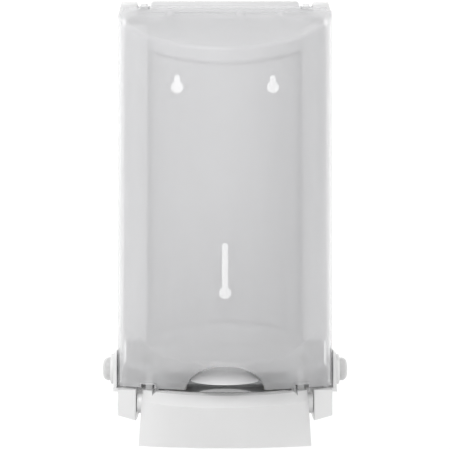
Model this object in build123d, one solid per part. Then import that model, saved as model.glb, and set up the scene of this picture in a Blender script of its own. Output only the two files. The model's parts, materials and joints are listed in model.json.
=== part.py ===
from build123d import *
from math import asin, atan2, cos, degrees, pi, radians, sin, sqrt
import os

# Wall-mounted soap dispenser with a push lever and a cover that swings up.
# Millimetres. X to the viewer's right, Y=0 is the wall and -Y is the front,
# +Z up. The origin is on the wall face, on the middle line. "Depth" is the
# distance in front of the wall, so a point at depth d has y = -d.

# ---- shared ----------------------------------------------------------------
SEAT_FIT = 0.02              # radial gap of a pin or screw that stays in its hole
CONTACT_GAP = 0.05           # between pieces that meet when nothing is pressed
OVERLAP = 1.0                # how far shapes that are joined reach into each other
PAST = 9.0                   # how far a cutter runs past the faces that it cuts

# ---- cover -----------------------------------------------------------------
COVER_HALF_W = 82.6          # half the width over the cover's side walls
COVER_FRONT = 108.7          # depth of the cover's front face
COVER_SIDE = 38.0            # depth where the side wall meets the front curve
COVER_BACK = 2.0             # depth of the cover's rear edge
COVER_WALL = 2.6             # wall thickness
COVER_BOTTOM = -123.3        # height of the cover's lower edge
ROOF_EDGE_Z = 164.0          # roof height over the end of the side wall
ROOF_SLOPE = 0.525           # fall of the roof for each mm towards the front
ROOF_BACK_Z = 174.7          # roof height at its rear edge
ROOF_BACK = 5.0              # depth of the roof's rear edge
ROOF_FILLET = 4.5            # rounding between the roof and the front
CREASE_FRONT_Z = -96.4       # height where the chin begins, at the front
CREASE_SIDE_Z = -75.0        # height where the chin begins, at the sides
CREASE_FLAT = 30.0           # half-width of the crease's level middle stretch
CHIN_OVERRUN = 14.0          # the chin's cutter runs this far past the crease
LIP_HEIGHT = 4.3             # upright lip round the lower edge
LIP_FRONT = 69.0             # depth of the lower edge on the middle line
ARCH_HALF_W = 30.2           # half-width of the arch over the nozzle shroud
ARCH_RISE = 25.2             # height of the arch above its own centre
ARCH_CENTRE_Z = -127.5
NOTCH_IN = 53.2              # notches in the lip for the lever's arms
NOTCH_OUT = 63.6
NOTCH_RISE = 2.7
NOTCH_RIM = 1.5              # raised rim round each notch
PIP_R = 4.3                  # three moulded pips on the roof
PIP_RISE = 2.0
PIP_DEPTH = 41.0
PIP_X = (-42.0, 11.5, 43.4)

# ---- cover hinge -----------------------------------------------------------
HINGE_DEPTH = 13.5
HINGE_Z = 170.0
HINGE_PIN_R = 2.0
RUNNING_CLEARANCE = 0.08     # radial clearance of a pin that turns in a hole
SLIT_GAP = 1.2               # slit in the roof beside each knuckle, and its distance from it
TENON_IN = 71.0              # tongue that holds each bracket in the back plate
TENON_OUT = 77.0
TENON_LOW = 166.0
TENON_HIGH = 170.0
TENON_FIT = 0.15
PIN_SEAT = 9.0               # how far a hinge pin goes into its bracket
KNUCKLE_R = 4.5
KNUCKLE_IN = 61.0
KNUCKLE_OUT = 66.2
BRACKET_IN = 68.8
BRACKET_OUT = 83.8
BRACKET_TOP_OUT = 81.0       # the bracket's outer face leans in to this
BRACKET_BOTTOM = 163.6
BRACKET_TOP = 174.8
BRACKET_FRONT = 21.5

# ---- back plate ------------------------------------------------------------
PLATE_T = 3.0
PLATE_GAP = 1.0              # between the plate's edge and the cover's wall
PLATE_TOP = 174.4
PLATE_BOTTOM = -149.4
FLANGE_TOP = 178.6
FLANGE_HALF_W = 59.0
RAIL_IN = 61.0               # raised side rails
RAIL_TOP_Z = 157.0
RAIL_BOTTOM_Z = -90.0
RAIL_FRONT_TOP = 20.0        # the rails stand further out lower down
RAIL_FRONT_BOTTOM = 28.0
RAIL_WALL = 2.4
PANEL_STEP = 1.4             # the middle panel lies this much lower
PANEL_HALF_W = 59.4
PANEL_TOP_CORNER_Z = 138.6
PANEL_TOP_MID_Z = 128.8
PANEL_BOTTOM_CORNER_Z = -86.8
PANEL_BOTTOM_MID_Z = -76.8
KEY_ENTRY_R = 4.85           # keyholes for a number 8 screw
KEY_SLOT_W = 4.7
KEY_X = 38.2
KEY_Z = 110.0
KEY_TRAVEL = 7.4             # from the entry's centre to the slot's end centre
KEY_LOW_Z = -54.2
KEY_LOW_TRAVEL = 37.6
KEY_RIM_W = 2.4
KEY_RIM_T = 0.8

# ---- base housing ----------------------------------------------------------
DECK_TOP = -128.5
DECK_T = 2.5
DECK_FRONT = 50.0
DECK_HALF_W = 52.0
DECK_REAR_STRIP = 12.0
BASE_WALL_T = 3.0
BASE_WALL_TOP = -97.0
BASE_WALL_HALF_W = 77.0
EAR_IN = 67.4
EAR_OUT = 81.4
EAR_TOP = -124.9
EAR_LOW_OUT = -144.0         # the ear's lower edge slants between these
EAR_LOW_IN = -148.0
EAR_FRONT = 54.0
EAR_WALL = 2.8
EAR_FILLET = 1.2
CHEEK_GAP = 0.35             # between a cheek tab and the cover's side wall
CHEEK_T = 2.75
CHEEK_TOP = -96.6
CHEEK_BOTTOM = -127.4
CHEEK_REAR = 8.0
CHEEK_FRONT = 44.0
CHEEK_CHAMFER = 2.2
CHEEK_CORNER = 8.0
INNER_CHEEK_T = 2.6          # upright walls inside the cover
INNER_CHEEK_GAP = 1.2
INNER_CHEEK_FRONT = 36.0
TUBE_CENTRE = 40.0           # depth of the refill's neck and nozzle
DECK_SLOT_R = 20.0

# ---- refill tray -----------------------------------------------------------
TRAY_GAP = 0.9               # between the rim's bead and the cover
TRAY_STEP = 1.6              # the wall below the bead is set back by this
TRAY_WALL = 2.0
TRAY_FLOOR_TOP = -107.2
TRAY_FLOOR_T = 2.4
RIM_DEPTH = 61.0             # the rim meets the floor's top at this depth
RIM_SLOPE = 0.6              # and rises by this for each mm towards the front
RIM_BEAD = 3.6
TRAY_REAR_GAP = 0.2
TRAY_SLOT_IN = 46.6          # slots for the yoke's ends and the lever's arms
TRAY_SLOT_OUT = 63.0
TRAY_SLOT_MARGIN = 8.0       # from the front of these slots to the cover's chin
LEDGE_FRONT = 12.0           # ledge on the base's rear wall
LEDGE_T = 2.4
COLLAR_BORE_R = 12.5
COLLAR_R = 15.0
COLLAR_FLANGE_R = 18.0
COLLAR_FLANGE_T = 2.0
COLLAR_SPIGOT = 5.0
SEAT_CLEARANCE = 0.15        # round parts that drop into a seat

# ---- guide rods, springs and yoke ------------------------------------------
ROD_X = 34.0
ROD_DEPTH = 24.0
ROD_R = 2.0
TOWER_R = 8.0                # spring towers on the tray
TOWER_WALL = 2.0
TOWER_TOP = -88.0
YOKE_TOP = -118.5
YOKE_T = 3.0
YOKE_HALF_W = 53.5
YOKE_REAR = 13.0
YOKE_FRONT = 46.0
YOKE_FORK_R = 14.0
YOKE_END_W = 6.5
YOKE_END_UP = 5.5            # end blocks stand above the yoke's plate
YOKE_END_DOWN = 2.0
YOKE_END_FRONT = 36.0
YOKE_BUSH_R = 4.0
YOKE_BUSH_FLANGE_R = 5.6
YOKE_BUSH_FLANGE_T = 1.2
SPRING_MEAN_R = 3.7
SPRING_WIRE_R = 0.45
SPRING_TURNS = 7
CLIP_R = 4.2
CLIP_T = 0.8

# ---- push lever ------------------------------------------------------------
PIVOT_DEPTH = 44.0
PIVOT_Z = -136.0
LEVER_ANGLE = 15.0           # full push, in degrees
LEVER_TOP = -125.0
LEVER_CREASE_Z = -132.5
LEVER_BOTTOM = -166.2
LEVER_TOP_HALF_W = 62.1
LEVER_CREASE_HALF_W = 63.0
LEVER_BOTTOM_HALF_W = 65.0
LEVER_TOP_FRONT = 84.5
LEVER_TOP_SIDE = 52.0
LEVER_CREASE_FRONT = 95.0
LEVER_CREASE_SIDE = 56.0
LEVER_BOTTOM_FRONT = 70.0
LEVER_BOTTOM_SIDE = 60.0
LEVER_REAR = 34.0
LEVER_WALL = 2.8
LEVER_TOP_OPEN_HALF_W = 54.6
LEVER_TOP_OPEN_FRONT = 64.0
BOSS_R = 7.6
BOSS_IN = 58.0
BOSS_OUT = 66.9
BUSH_R = 4.6
LEVER_PIN_R = 3.0
LEVER_PIN_HEAD_R = 4.6
LEVER_PIN_HEAD_T = 2.0
ARM_IN = 55.5
ARM_T = 5.0
ARM_FRONT = 46.0
ARM_REAR = 38.0
ARM_TOP = -113.0
DRIVE_DEPTH = 20.0
DRIVE_Z = -118.0
DRIVE_R = 2.5
DRIVE_SLOT_CLEARANCE = 0.45
DRIVE_PIN_IN = 48.0

# ---- release buttons -------------------------------------------------------
BUTTON_DEPTH = 30.0
BUTTON_Z = -111.6
BUTTON_TRAVEL = 2.2
BUTTON_R = 8.9
BUTTON_FLANGE_R = 9.9
BUTTON_FLANGE_T = 0.8
BUTTON_WALL = 1.3
BUTTON_RISE = 6.6            # how far a button stands out of its bezel
BUTTON_CORNER_R = 4.2        # rounding of the button's rim
BUTTON_CROWN_R = 24.0        # gentle crown of its face
BUTTON_SIDE_CLEARANCE = 0.1
BUTTON_REST_GAP = 0.02
BUTTON_NOSE_SHORT = 0.25
BEZEL_R = 11.6
BEZEL_T = 2.6                # how far a bezel stands out of its cheek tab
BEZEL_LIP = 1.0
BEZEL_WALL = 0.9
RETAINER_T = 0.9
NOSE_R = 2.6
BUTTON_SPRING_R = 4.6
BUTTON_SPRING_WIRE_R = 0.35
BUTTON_SPRING_TURNS = 3.5

# ---- shroud, bumpers and fasteners -----------------------------------------
SHROUD_GAP = 0.8             # between the shroud and the cover's arch
SHROUD_CENTRE = 62.0
SHROUD_REACH = 37.0
SHROUD_LOW_Z = -116.0
SHROUD_WALL = 2.0
SHROUD_TRAY_GAP = 1.0
SHROUD_FLANGE_HALF_W = 34.0
SHROUD_FLANGE_REAR = 58.6
SHROUD_FLANGE_FRONT = 65.0
SHROUD_FLANGE_T = 2.0
SHROUD_SCREW_X = 30.0
SCREW_R = 1.5
SCREW_HEAD_R = 3.2
SCREW_HEAD_T = 2.0
SCREW_CLEARANCE = 0.2
HOUSING_SCREW_X = 62.0
HOUSING_SCREW_Z = (-104.0, -122.0)
BUMPER_R = 3.6
BUMPER_T = 3.0
BUMPER_SHELF_FRONT = 25.0


# ---- helpers ---------------------------------------------------------------
def block(x0, x1, d0, d1, z0, z1):
    """A box given by its limits across, in depth and in height."""
    size = (x1 - x0, d1 - d0, z1 - z0)
    middle = ((x0 + x1) / 2, -(d0 + d1) / 2, (z0 + z1) / 2)
    return Pos(*middle) * Box(*size)


def rod_x(x0, x1, depth, z, radius):
    """A cylinder along X."""
    turned = Rot(0, 90, 0) * Cylinder(radius, abs(x1 - x0))
    return Pos((x0 + x1) / 2, -depth, z) * turned


def rod_z(x, depth, z0, z1, radius):
    """An upright cylinder."""
    return Pos(x, -depth, (z0 + z1) / 2) * Cylinder(radius, z1 - z0)


def rod_y(x, d0, d1, z, radius):
    """A cylinder along Y between two depths."""
    turned = Rot(90, 0, 0) * Cylinder(radius, d1 - d0)
    return Pos(x, -(d0 + d1) / 2, z) * turned


def side_profile(points, x0, x1):
    """A prism between x0 and x1 from (depth, height) points."""
    outline = Polyline(*[(x0, -d, z) for d, z in points], close=True)
    return extrude(make_face(outline), amount=x1 - x0, dir=(1, 0, 0))


def front_profile(points, d0, d1):
    """A prism between two depths from (x, height) points."""
    outline = Polyline(*[(x, -d0, z) for x, z in points], close=True)
    return extrude(make_face(outline), amount=d1 - d0, dir=(0, -1, 0))


def front_ellipse(half_w, rise, centre_z, d0, d1):
    """An elliptic prism between two depths."""
    plane = Plane(origin=(0, -d0, centre_z), x_dir=(1, 0, 0), z_dir=(0, -1, 0))
    return extrude(plane * Ellipse(half_w, rise), amount=d1 - d0)


def left_and_right(shape):
    """The piece made for the right side, and its mirror image."""
    return {"right": shape, "left": mirror(shape, about=Plane.YZ)}


def both(shape):
    return shape + mirror(shape, about=Plane.YZ)


def coil(x, depth, z0, z1, mean_r, wire_r, turns):
    """An upright compression spring whose wire ends lie at z0 and z1."""
    height = (z1 - z0) - 2 * wire_r
    path = Helix(pitch=height / turns, height=height, radius=mean_r)
    section = Plane(origin=path @ 0, z_dir=path % 0) * Circle(wire_r)
    return Pos(x, -depth, z0 + wire_r) * sweep(section, path=path, is_frenet=True)


# ---- the cover's form ------------------------------------------------------
def plan_radius(half_w, front):
    bulge = front - COVER_SIDE
    return (half_w ** 2 + bulge ** 2) / (2 * bulge)


def lip_depth(x):
    """Depth of the cover's lower edge at a distance x from the middle."""
    bulge = LIP_FRONT - COVER_SIDE
    radius = (COVER_HALF_W ** 2 + bulge ** 2) / (2 * bulge)
    return LIP_FRONT - radius + sqrt(radius ** 2 - x ** 2)


def crease_depth(x):
    """Depth of the front face at a distance x from the middle."""
    radius = plan_radius(COVER_HALF_W, COVER_FRONT)
    return COVER_FRONT - radius + sqrt(radius ** 2 - x ** 2)


def chin_depth(x, z):
    """Depth of the chin at a distance x from the middle, at a height."""
    low = COVER_BOTTOM + LIP_HEIGHT
    share = (z - low) / (crease_height(x) - low)
    return lip_depth(x) + share * (crease_depth(x) - lip_depth(x))


def crease_height(x):
    """Height where the chin begins: level in front, higher at the sides."""
    share = (abs(x) - CREASE_FLAT) / (COVER_HALF_W - CREASE_FLAT)
    ramp = (1 - cos(pi * min(max(share, 0.0), 1.0))) / 2
    return CREASE_FRONT_Z + ramp * (CREASE_SIDE_Z - CREASE_FRONT_Z)


def plan_prism(inset, z0, z1, back):
    """The cover's plan, drawn in by inset, between two heights."""
    half_w = COVER_HALF_W - inset
    front = COVER_FRONT - inset
    corner = (half_w, -COVER_SIDE)
    outline = [
        Line((half_w, -back), corner),
        ThreePointArc(corner, (0, -front), (-half_w, -COVER_SIDE)),
        Line((-half_w, -COVER_SIDE), (-half_w, -back)),
        Line((-half_w, -back), (half_w, -back)),
    ]
    face = make_face(Curve() + outline)
    return Pos(0, 0, z0) * extrude(face, amount=z1 - z0)


def roof_cutter(inset):
    """Everything above the roof, whose underside is lowered by inset."""
    drop = inset * sqrt(1 + ROOF_SLOPE ** 2)
    far = COVER_FRONT + 30
    knee = (0, -COVER_SIDE, ROOF_EDGE_Z - drop)
    foot = (0, -far, ROOF_EDGE_Z - drop - ROOF_SLOPE * (far - COVER_SIDE))
    heel = (0, -ROOF_BACK, ROOF_BACK_Z - inset)
    back = (0, 30, ROOF_BACK_Z - inset)
    up = 260
    bend = TangentArc(knee, heel, tangent=(0, 1, ROOF_SLOPE))
    outline = [
        Line(foot, knee), bend, Line(heel, back),
        Line(back, (0, 30, up)), Line((0, 30, up), (0, -far, up)),
        Line((0, -far, up), foot),
    ]
    face = make_face(Curve() + outline)
    wide = COVER_HALF_W + 20
    return Pos(-wide, 0, 0) * extrude(face, amount=2 * wide, dir=(1, 0, 0))


def chin_station(x, inset):
    """The cutter's outline at one distance from the middle."""
    inside = min(abs(x), COVER_HALF_W)
    low = (lip_depth(inside), COVER_BOTTOM + LIP_HEIGHT)
    high = (crease_depth(inside), crease_height(inside))
    run = (high[0] - low[0], high[1] - low[1])
    length = sqrt(run[0] ** 2 + run[1] ** 2)
    shift = (-inset * run[1] / length, inset * run[0] / length)
    back = (-inset - shift[0]) / run[0] if run[0] > 1 else 0
    low = (low[0] + shift[0] + back * run[0], low[1] + shift[1] + back * run[1])
    reach = CHIN_OVERRUN / run[1]
    top = (low[0] + run[0] * (1 + reach), low[1] + run[1] * (1 + reach))
    under = COVER_BOTTOM - 40
    far = COVER_FRONT + 160
    points = [(low[0], under), low, top, (far, top[1]), (far, under)]
    return Polyline(*[(x, -d, z) for d, z in points], close=True)


def chin_cutter(inset):
    """Everything in front of the chin and the lip, drawn in by inset."""
    half_w = COVER_HALF_W + 0.5
    stations = 18
    places = [-half_w * cos(pi * i / stations) for i in range(stations + 1)]
    wires = [Wire(chin_station(x, inset).edges()) for x in places]
    return Part() + Solid.make_loft(wires, ruled=False)


def cover_form(inset, back=COVER_BACK, bottom=COVER_BOTTOM):
    """The cover as a filled body, drawn in by inset on every side."""
    body = plan_prism(inset, bottom, ROOF_BACK_Z + 5, back)
    body = body - roof_cutter(inset)
    return body - chin_cutter(inset)


def notch_box(grow):
    """The space of one notch in the lip, on the right side."""
    top = COVER_BOTTOM + NOTCH_RISE + grow
    front = LIP_FRONT + PAST
    return block(NOTCH_IN - grow, NOTCH_OUT + grow, 30, front, COVER_BOTTOM - 1, top)


def bracket_room_in():
    """Where the room for the bracket begins, just outside the knuckle."""
    return KNUCKLE_OUT + (BRACKET_IN - KNUCKLE_OUT) / 4


def bracket_room():
    """What the cover leaves free for the right-hand hinge bracket."""
    reach = BRACKET_FRONT + BRACKET_IN - KNUCKLE_OUT
    far = COVER_HALF_W + 10
    roof = block(bracket_room_in(), far, -1, reach, HINGE_Z - 14, ROOF_BACK_Z + 9)
    drop = BRACKET_BOTTOM - 5.1
    wall_in = COVER_HALF_W - COVER_WALL - 1.2
    wall = block(wall_in, far, -1, COVER_SIDE - 3, drop, ROOF_BACK_Z + PAST)
    return roof + wall


def cover_knuckle():
    """The right-hand knuckle and the web that joins it to the roof."""
    barrel = rod_x(KNUCKLE_IN, KNUCKLE_OUT, HINGE_DEPTH, HINGE_Z, KNUCKLE_R)
    web = block(KNUCKLE_IN, KNUCKLE_OUT, HINGE_DEPTH - 3, HINGE_DEPTH + 4, HINGE_Z, HINGE_Z + 2)
    return barrel + web


def cover():
    outer = cover_form(0)
    outer = fillet(outer.edges().filter_by(GeomType.ELLIPSE), ROOF_FILLET)
    rear_half_w = bracket_room_in() + OVERLAP
    rear = block(-rear_half_w, rear_half_w, -1, ROOF_BACK, HINGE_Z - 14, ROOF_BACK_Z + PAST)
    outer = outer - rear
    hollow = cover_form(COVER_WALL, back=-10, bottom=COVER_BOTTOM - 20)
    shell = outer - hollow
    band = cover_form(-COVER_WALL / 3) - hollow
    rim = (notch_box(NOTCH_RIM) & band) - notch_box(0)
    shell = shell - both(bracket_room()) - both(notch_box(0))
    shell = shell + both(rim) + both(cover_knuckle())
    for x in PIP_X:
        z = ROOF_EDGE_Z - ROOF_SLOPE * (PIP_DEPTH - COVER_SIDE)
        ball = (PIP_R ** 2 + PIP_RISE ** 2) / (2 * PIP_RISE)
        dome = Pos(x, -PIP_DEPTH, z + PIP_RISE - ball) * Sphere(ball)
        above = block(x - 9, x + 9, PIP_DEPTH - 9, PIP_DEPTH + 9, z - 6, z + 9)
        shell = shell + (dome & above)
    slit_out = KNUCKLE_IN - SLIT_GAP
    slit = block(slit_out - SLIT_GAP, slit_out, 0, COVER_SIDE - 6, HINGE_Z - 14, ROOF_BACK_Z + PAST)
    front = COVER_FRONT + PAST
    arch = front_ellipse(ARCH_HALF_W, ARCH_RISE, ARCH_CENTRE_Z, COVER_SIDE + 12, front)
    bore_r = HINGE_PIN_R + RUNNING_CLEARANCE
    bore = rod_x(KNUCKLE_IN - 1, KNUCKLE_OUT + 1, HINGE_DEPTH, HINGE_Z, bore_r)
    return shell - both(slit) - arch - both(bore)


# ---- back plate and hinge --------------------------------------------------
def keyhole(x, z, travel, grow=0.0, d0=-1.0, d1=20.0):
    """A keyhole: a round entry and a narrower slot above it."""
    entry = rod_y(x, d0, d1, z, KEY_ENTRY_R + grow)
    slot = block(x - KEY_SLOT_W / 2 - grow, x + KEY_SLOT_W / 2 + grow, d0, d1, z, z + travel)
    end = rod_y(x, d0, d1, z + travel, KEY_SLOT_W / 2 + grow)
    return entry + slot + end


def keyholes(grow=0.0, d0=-1.0, d1=20.0):
    holes = keyhole(0, KEY_LOW_Z, KEY_LOW_TRAVEL, grow, d0, d1)
    return holes + both(keyhole(KEY_X, KEY_Z, KEY_TRAVEL, grow, d0, d1))


def panel_outline():
    """The middle panel: level sides, dished top edge, arched bottom edge."""
    w = PANEL_HALF_W
    top = (w, 0, PANEL_TOP_CORNER_Z)
    bottom = (w, 0, PANEL_BOTTOM_CORNER_Z)
    outline = [
        Line(bottom, top),
        ThreePointArc(top, (0, 0, PANEL_TOP_MID_Z), (-w, 0, PANEL_TOP_CORNER_Z)),
        Line((-w, 0, PANEL_TOP_CORNER_Z), (-w, 0, PANEL_BOTTOM_CORNER_Z)),
        ThreePointArc((-w, 0, PANEL_BOTTOM_CORNER_Z), (0, 0, PANEL_BOTTOM_MID_Z), bottom),
    ]
    return extrude(make_face(Curve() + outline), amount=60, dir=(0, -1, 0))


def side_rail(inset):
    """The right-hand raised rail; inset gives its hollow."""
    out = COVER_HALF_W - COVER_WALL - PLATE_GAP
    rear = PLATE_T - 1 if inset == 0 else -1
    points = [
        (rear, RAIL_BOTTOM_Z + inset),
        (RAIL_FRONT_BOTTOM - inset, RAIL_BOTTOM_Z + inset),
        (RAIL_FRONT_TOP - inset, RAIL_TOP_Z - inset),
        (rear, RAIL_TOP_Z - inset),
    ]
    return side_profile(points, RAIL_IN + inset, out - inset)


def hinge_tenon(grow=0.0):
    """The tongue that holds the right-hand bracket in the plate."""
    rear = 0.5 - 2 * grow
    front = PLATE_T + OVERLAP / 2
    return block(TENON_IN - grow, TENON_OUT + grow, rear, front, TENON_LOW - grow, TENON_HIGH + grow)


def housing_screw_holes(radius):
    """Holes for the four screws that hold the base housing to the plate."""
    holes = Part()
    for z in HOUSING_SCREW_Z:
        holes = holes + both(rod_y(HOUSING_SCREW_X, -PAST, PAST, z, radius))
    return holes


def back_plate():
    half_w = COVER_HALF_W - COVER_WALL - PLATE_GAP
    plate = block(-half_w, half_w, 0, PLATE_T, PLATE_BOTTOM, PLATE_TOP)
    flange = block(-FLANGE_HALF_W, FLANGE_HALF_W, 0, PLATE_T, PLATE_TOP - 1, FLANGE_TOP)
    flange = fillet(flange.edges().filter_by(Axis.Y).group_by(Axis.Z)[-1], 3)
    step_low = RAIL_BOTTOM_Z - 3
    step_front = PLATE_T + PANEL_STEP
    step = block(-RAIL_IN, RAIL_IN, PLATE_T - OVERLAP, step_front, step_low, RAIL_TOP_Z)
    plate = plate + flange + (step - panel_outline())
    plate = plate + both(side_rail(0)) + keyholes(KEY_RIM_W, 1, PLATE_T + KEY_RIM_T)
    plate = plate - both(side_rail(RAIL_WALL)) - keyholes()
    return plate - housing_screw_holes(SCREW_R + SEAT_FIT) - both(hinge_tenon(TENON_FIT))


def hinge_bracket():
    outline = [
        (BRACKET_IN, BRACKET_BOTTOM), (BRACKET_OUT, BRACKET_BOTTOM),
        (BRACKET_TOP_OUT, BRACKET_TOP), (BRACKET_IN, BRACKET_TOP),
    ]
    body = front_profile(outline, PLATE_T, BRACKET_FRONT)
    body = fillet(body.edges().filter_by(Axis.X).group_by(Axis.Z)[-1].sort_by(Axis.Y)[0], 2.5)
    pin = rod_x(BRACKET_IN - 1, BRACKET_IN + PIN_SEAT, HINGE_DEPTH, HINGE_Z, HINGE_PIN_R)
    return (body + hinge_tenon()) - pin


def hinge_pin():
    return rod_x(KNUCKLE_IN, BRACKET_IN + PIN_SEAT, HINGE_DEPTH, HINGE_Z, HINGE_PIN_R)


# ---- base housing ----------------------------------------------------------
def ear():
    """The right-hand ear, hollow from below."""
    outline = [
        (EAR_IN, EAR_TOP), (EAR_OUT, EAR_TOP),
        (EAR_OUT, EAR_LOW_OUT), (EAR_IN, EAR_LOW_IN),
    ]
    body = front_profile(outline, PLATE_T, EAR_FRONT)
    body = fillet(body.edges().filter_by(Axis.Z).group_by(Axis.Y)[0], EAR_FILLET)
    low = EAR_LOW_IN - 10
    pocket = [
        (EAR_IN + EAR_WALL, EAR_TOP - EAR_WALL), (EAR_OUT - EAR_WALL, EAR_TOP - EAR_WALL),
        (EAR_OUT - EAR_WALL, low), (EAR_IN + EAR_WALL, low),
    ]
    return body - front_profile(pocket, PLATE_T + EAR_WALL, EAR_FRONT - EAR_WALL)


def cheek():
    """The right-hand tab outside the cover, and the wall inside it."""
    inner = COVER_HALF_W + CHEEK_GAP
    outer = inner + CHEEK_T
    tab = block(inner, outer, CHEEK_REAR, CHEEK_FRONT, CHEEK_BOTTOM, CHEEK_TOP)
    corners = tab.edges().filter_by(Axis.X).group_by(Axis.Z)[-1]
    tab = fillet(corners, CHEEK_CORNER)
    rim = tab.faces().sort_by(Axis.X)[-1].edges()
    tab = chamfer([e for e in rim if e.center().Z > CHEEK_BOTTOM + 1], CHEEK_CHAMFER)
    foot = block(EAR_OUT - 4, outer, CHEEK_REAR, CHEEK_FRONT, CHEEK_BOTTOM, EAR_TOP)
    wall_out = COVER_HALF_W - COVER_WALL - INNER_CHEEK_GAP
    wall_in = wall_out - INNER_CHEEK_T
    top = TRAY_FLOOR_TOP - TRAY_FLOOR_T
    wall = block(wall_in, wall_out, PLATE_T, INNER_CHEEK_FRONT, EAR_TOP - 1, top)
    return tab + foot + wall


def deck():
    plate = block(-DECK_HALF_W, DECK_HALF_W, PLATE_T, DECK_FRONT, DECK_TOP - DECK_T, DECK_TOP)
    strip = block(-EAR_IN - 1, EAR_IN + 1, PLATE_T, DECK_REAR_STRIP, DECK_TOP - DECK_T, DECK_TOP)
    slot = rod_z(0, TUBE_CENTRE, DECK_TOP - 9, DECK_TOP + 9, DECK_SLOT_R)
    mouth = block(-DECK_SLOT_R, DECK_SLOT_R, TUBE_CENTRE, DECK_FRONT + 9, DECK_TOP - 9, DECK_TOP + 9)
    return plate + strip - slot - mouth


def bumper_shelf():
    """The right-hand shelf under the lever's arm."""
    low = DECK_TOP - DECK_T
    shelf = block(ARM_IN - 2, ARM_IN + ARM_T + 2, PLATE_T, BUMPER_SHELF_FRONT, low, bumper_z())
    return shelf - block(ARM_IN, ARM_IN + ARM_T, PLATE_T + 5, BUMPER_SHELF_FRONT - 9, low - 1, low + 2)


def arm_underside():
    return DRIVE_Z - 2 * DRIVE_R


def bumper_z():
    return arm_underside() - BUMPER_T - CONTACT_GAP


def base_housing():
    low = DECK_TOP - DECK_T
    wall_front = PLATE_T + BASE_WALL_T
    wall = block(-BASE_WALL_HALF_W, BASE_WALL_HALF_W, PLATE_T, wall_front, low, BASE_WALL_TOP)
    floor = TRAY_FLOOR_TOP - TRAY_FLOOR_T
    ledge = block(-TRAY_SLOT_IN, TRAY_SLOT_IN, PLATE_T, LEDGE_FRONT, floor - LEDGE_T, floor)
    body = wall + deck() + ledge + both(ear()) + both(cheek()) + both(bumper_shelf())
    for x in (ROD_X, -ROD_X):
        body = body - rod_z(x, ROD_DEPTH, low - 1, DECK_TOP + 1, ROD_R + SEAT_FIT)
    pin = rod_x(EAR_IN - 1, EAR_IN + 7, PIVOT_DEPTH, PIVOT_Z, LEVER_PIN_R + SEAT_FIT)
    inner = COVER_HALF_W + CHEEK_GAP
    hole = rod_x(inner - 1, inner + CHEEK_T + 1, BUTTON_DEPTH, BUTTON_Z, bezel_spigot_r() + 0.05)
    return body - both(pin) - both(hole) - housing_screw_holes(SCREW_R + SCREW_CLEARANCE)


def housing_screws():
    group = Part()
    front = PLATE_T + BASE_WALL_T
    for z in HOUSING_SCREW_Z:
        shank = rod_y(HOUSING_SCREW_X, 0.4, front + 0.5, z, SCREW_R)
        head = rod_y(HOUSING_SCREW_X, front, front + SCREW_HEAD_T, z, SCREW_HEAD_R)
        recess = block(HOUSING_SCREW_X - 2, HOUSING_SCREW_X + 2, front + 1, front + 5, z - 0.4, z + 0.4)
        cross = block(HOUSING_SCREW_X - 0.4, HOUSING_SCREW_X + 0.4, front + 1, front + 5, z - 2, z + 2)
        group = group + both(shank + head - recess - cross)
    return group


# ---- refill tray, collar and shroud ----------------------------------------
def below_rim(drop):
    """Everything under the rim's slanted plane, lowered by drop."""
    near = RIM_DEPTH - 70
    far = COVER_FRONT + 20
    under = TRAY_FLOOR_TOP - 60

    def height(depth):
        return TRAY_FLOOR_TOP + RIM_SLOPE * (depth - RIM_DEPTH) - drop

    points = [(near, under), (far, under), (far, height(far)), (near, height(near))]
    half_w = COVER_HALF_W + 5
    return side_profile(points, -half_w, half_w)


def tower(inset):
    top = TOWER_TOP - inset
    floor = TRAY_FLOOR_TOP - TRAY_FLOOR_T
    return rod_z(ROD_X, ROD_DEPTH, floor - (1 if inset else 0), top, TOWER_R - inset)


def refill_tray():
    bead_inset = COVER_WALL + TRAY_GAP
    wall_inset = bead_inset + TRAY_STEP
    low = TRAY_FLOOR_TOP - TRAY_FLOOR_T
    rear = PLATE_T + BASE_WALL_T + TRAY_REAR_GAP
    wall = cover_form(wall_inset, rear, low)
    bead = cover_form(bead_inset, rear, low)
    hollow = cover_form(wall_inset + TRAY_WALL, rear - 1, TRAY_FLOOR_TOP)
    floor = wall & block(-99, 99, 0, COVER_FRONT, low, TRAY_FLOOR_TOP)
    rim = (bead - hollow) & (below_rim(0) - below_rim(RIM_BEAD))
    skirt = (wall - hollow) & below_rim(RIM_BEAD / 2)
    tray = floor + skirt + rim + both(tower(0))
    slot_front = chin_depth(TRAY_SLOT_OUT, low) - TRAY_SLOT_MARGIN
    slot = block(TRAY_SLOT_IN, TRAY_SLOT_OUT, 0, slot_front, low - 9, TRAY_FLOOR_TOP + 9)
    cut_w = ARCH_HALF_W - SHROUD_GAP + SHROUD_TRAY_GAP
    cut_rise = ARCH_RISE - SHROUD_GAP + SHROUD_TRAY_GAP
    arch = front_ellipse(cut_w, cut_rise, ARCH_CENTRE_Z, SHROUD_CENTRE - 1, COVER_FRONT + 5)
    seat = rod_z(0, TUBE_CENTRE, low - 1, TRAY_FLOOR_TOP + 1, COLLAR_R + SEAT_CLEARANCE)
    hole_r = SCREW_R + SEAT_FIT
    screws = both(rod_z(SHROUD_SCREW_X, shroud_screw_depth(), low - 1, TRAY_FLOOR_TOP + 1, hole_r))
    return tray - both(slot) - arch - seat - both(tower(TOWER_WALL)) - screws


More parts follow.
